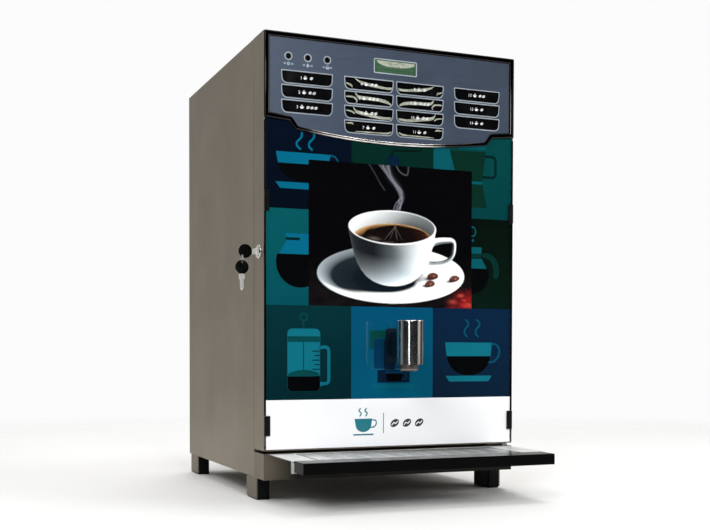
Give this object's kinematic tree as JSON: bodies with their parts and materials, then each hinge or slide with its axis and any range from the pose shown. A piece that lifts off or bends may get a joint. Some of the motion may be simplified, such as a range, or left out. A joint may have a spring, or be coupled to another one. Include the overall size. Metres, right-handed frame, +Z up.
{
  "type": "hot coffee vending machine",
  "caption": "Table-top hot drinks vending machine: steel cabinet with hinged glass door, drink keys, chromed spout, drip tray, powder canisters, mixing bowls, boiler and pump.",
  "frame": {"origin": "middle of the front edge of the cabinet's flat underside, in the plane of the door's front; the feet stand 32 mm below it, so the floor is at z = -0.032", "axes": "+X to the machine's right side as seen from the front, +Y from the door into the cabinet, +Z up"},
  "size_m": [0.4368, 0.596, 0.662],
  "materials": {
    "body_steel": "brushed, warm grey",
    "inner_steel": "mill finish",
    "hinge_steel": "zinc plated",
    "rubber_black": "matt moulded",
    "tray_black": "gloss moulded",
    "grille_steel": "satin",
    "glass_dark": "back-printed, gloss",
    "bezel_chrome": "dark chrome",
    "fascia_grey": "fine satin film",
    "key_black": "gloss",
    "display_green": "green-lit window",
    "trim_black": "satin",
    "board_green": "solder mask",
    "spout_black": "gloss moulded",
    "spout_chrome": "polished",
    "lock_chrome": "polished",
    "key_bow_black": "moulded bow, plated blade",
    "cam_steel": "zinc plated",
    "canister_clear": "smoked clear",
    "lid_blue": "satin",
    "auger_white": "satin",
    "motor_dark": "satin",
    "bowl_white": "translucent white",
    "boiler_steel": "drawn steel",
    "valve_brass": "machined",
    "pump_metal": "die cast",
    "psu_metal": "zinc plated",
    "hose_silicone": "silicone",
    "fitting_black": "moulded",
    "screw_steel": "plated"
  },
  "bodies": {
    "cabinet": {"left_side_panel": "body_steel", "right_side_panel": "body_steel", "back_panel": "body_steel", "top_cover": "body_steel", "base_plinth": "body_steel", "rubber_feet": "rubber_black", "front_frame": "inner_steel", "hinge_plates": "hinge_steel", "canister_shelf": "inner_steel", "canisters": "canister_clear", "canister_lids": "lid_blue", "drive_motors": "motor_dark", "mixing_bowls": "bowl_white", "boiler": "boiler_steel", "solenoid_valves": "valve_brass", "water_pump": "pump_metal", "power_supply": "psu_metal", "hoses": "hose_silicone", "rear_fittings": "fitting_black", "panel_screws": "screw_steel", "tray_shelf": "body_steel"},
    "door": {"door_shell": "body_steel", "front_glass": "glass_dark", "glass_clips": "trim_black", "edge_trims": "trim_black", "bezel_trim": "bezel_chrome", "control_fascia": "fascia_grey", "display_module": "display_green", "keypad_board": "board_green", "collector_funnel": "bowl_white", "spout_nozzle": "spout_black", "spout_shroud": "spout_chrome", "lock_body": "lock_chrome"},
    "lock": {"lock_key": "key_bow_black", "lock_cam": "cam_steel"},
    "spare_key": {"spare_key": "key_bow_black"},
    "drip_tray": {"drip_tray": "tray_black"},
    "drip_grille": {"drip_grille": "grille_steel"},
    "auger_left": {"auger_left": "auger_white"},
    "auger_middle": {"auger_middle": "auger_white"},
    "auger_right": {"auger_right": "auger_white"},
    "whipper_left": {"whipper_left": "auger_white"},
    "whipper_right": {"whipper_right": "auger_white"},
    "drink_key_01": {"drink_key_01": "key_black"},
    "drink_key_02": {"drink_key_02": "key_black"},
    "drink_key_03": {"drink_key_03": "key_black"},
    "drink_key_04": {"drink_key_04": "key_black"},
    "drink_key_05": {"drink_key_05": "key_black"},
    "drink_key_06": {"drink_key_06": "key_black"},
    "drink_key_07": {"drink_key_07": "key_black"},
    "drink_key_08": {"drink_key_08": "key_black"},
    "drink_key_09": {"drink_key_09": "key_black"},
    "drink_key_10": {"drink_key_10": "key_black"},
    "drink_key_11": {"drink_key_11": "key_black"},
    "drink_key_12": {"drink_key_12": "key_black"},
    "drink_key_13": {"drink_key_13": "key_black"},
    "drink_key_14": {"drink_key_14": "key_black"},
    "button_function": {"button_function": "key_black"},
    "button_rinse": {"button_rinse": "key_black"},
    "button_hot_water": {"button_hot_water": "key_black"}
  },
  "joints": [
    {"name": "door_hinge", "type": "hinge", "parent": "cabinet", "child": "door", "pos_m": [0.192, 0.01, 0.3], "axis": [0, 0, 1], "range_deg": [0, 105]},
    {"name": "lock_turn", "type": "hinge", "parent": "door", "child": "lock", "pos_m": [-0.2, 0.017, 0.323], "axis": [1, 0, 0], "range_deg": [0, 90]},
    {"name": "spare_key_swing", "type": "hinge", "parent": "lock", "child": "spare_key", "pos_m": [-0.2265, 0.017, 0.3122], "axis": [1, 0, 0], "range_deg": [-80, 80]},
    {"name": "drip_tray_slide", "type": "slide", "parent": "cabinet", "child": "drip_tray", "axis": [0, -1, 0], "range_m": [0, 0.11]},
    {"name": "grille_lift", "type": "slide", "parent": "drip_tray", "child": "drip_grille", "axis": [0, 0, 1], "range_m": [0, 0.06]},
    {"name": "auger_left_spin", "type": "hinge", "parent": "cabinet", "child": "auger_left", "pos_m": [-0.122, 0.2, 0.408], "axis": [0, 1, 0], "continuous": true},
    {"name": "auger_middle_spin", "type": "hinge", "parent": "cabinet", "child": "auger_middle", "pos_m": [0, 0.2, 0.408], "axis": [0, 1, 0], "continuous": true},
    {"name": "auger_right_spin", "type": "hinge", "parent": "cabinet", "child": "auger_right", "pos_m": [0.122, 0.2, 0.408], "axis": [0, 1, 0], "continuous": true},
    {"name": "whipper_left_spin", "type": "hinge", "parent": "cabinet", "child": "whipper_left", "pos_m": [-0.061, 0.09, 0.317], "axis": [0, 1, 0], "continuous": true},
    {"name": "whipper_right_spin", "type": "hinge", "parent": "cabinet", "child": "whipper_right", "pos_m": [0.122, 0.09, 0.317], "axis": [0, 1, 0], "continuous": true},
    {"name": "drink_key_01_press", "type": "slide", "parent": "door", "child": "drink_key_01", "axis": [0, 1, 0], "range_m": [0, 0.0012], "stiffness_N_per_m": 800, "springref_m": -0.0003},
    {"name": "drink_key_02_press", "type": "slide", "parent": "door", "child": "drink_key_02", "axis": [0, 1, 0], "range_m": [0, 0.0012], "stiffness_N_per_m": 800, "springref_m": -0.0003},
    {"name": "drink_key_03_press", "type": "slide", "parent": "door", "child": "drink_key_03", "axis": [0, 1, 0], "range_m": [0, 0.0012], "stiffness_N_per_m": 800, "springref_m": -0.0003},
    {"name": "drink_key_04_press", "type": "slide", "parent": "door", "child": "drink_key_04", "axis": [0, 1, 0], "range_m": [0, 0.0012], "stiffness_N_per_m": 800, "springref_m": -0.0003},
    {"name": "drink_key_05_press", "type": "slide", "parent": "door", "child": "drink_key_05", "axis": [0, 1, 0], "range_m": [0, 0.0012], "stiffness_N_per_m": 800, "springref_m": -0.0003},
    {"name": "drink_key_06_press", "type": "slide", "parent": "door", "child": "drink_key_06", "axis": [0, 1, 0], "range_m": [0, 0.0012], "stiffness_N_per_m": 800, "springref_m": -0.0003},
    {"name": "drink_key_07_press", "type": "slide", "parent": "door", "child": "drink_key_07", "axis": [0, 1, 0], "range_m": [0, 0.0012], "stiffness_N_per_m": 800, "springref_m": -0.0003},
    {"name": "drink_key_08_press", "type": "slide", "parent": "door", "child": "drink_key_08", "axis": [0, 1, 0], "range_m": [0, 0.0012], "stiffness_N_per_m": 800, "springref_m": -0.0003},
    {"name": "drink_key_09_press", "type": "slide", "parent": "door", "child": "drink_key_09", "axis": [0, 1, 0], "range_m": [0, 0.0012], "stiffness_N_per_m": 800, "springref_m": -0.0003},
    {"name": "drink_key_10_press", "type": "slide", "parent": "door", "child": "drink_key_10", "axis": [0, 1, 0], "range_m": [0, 0.0012], "stiffness_N_per_m": 800, "springref_m": -0.0003},
    {"name": "drink_key_11_press", "type": "slide", "parent": "door", "child": "drink_key_11", "axis": [0, 1, 0], "range_m": [0, 0.0012], "stiffness_N_per_m": 800, "springref_m": -0.0003},
    {"name": "drink_key_12_press", "type": "slide", "parent": "door", "child": "drink_key_12", "axis": [0, 1, 0], "range_m": [0, 0.0012], "stiffness_N_per_m": 800, "springref_m": -0.0003},
    {"name": "drink_key_13_press", "type": "slide", "parent": "door", "child": "drink_key_13", "axis": [0, 1, 0], "range_m": [0, 0.0012], "stiffness_N_per_m": 800, "springref_m": -0.0003},
    {"name": "drink_key_14_press", "type": "slide", "parent": "door", "child": "drink_key_14", "axis": [0, 1, 0], "range_m": [0, 0.0012], "stiffness_N_per_m": 800, "springref_m": -0.0003},
    {"name": "button_function_press", "type": "slide", "parent": "door", "child": "button_function", "axis": [0, 1, 0], "range_m": [0, 0.0012], "stiffness_N_per_m": 800, "springref_m": -0.0003},
    {"name": "button_rinse_press", "type": "slide", "parent": "door", "child": "button_rinse", "axis": [0, 1, 0], "range_m": [0, 0.0012], "stiffness_N_per_m": 800, "springref_m": -0.0003},
    {"name": "button_hot_water_press", "type": "slide", "parent": "door", "child": "button_hot_water", "axis": [0, 1, 0], "range_m": [0, 0.0012], "stiffness_N_per_m": 800, "springref_m": -0.0003}
  ]
}
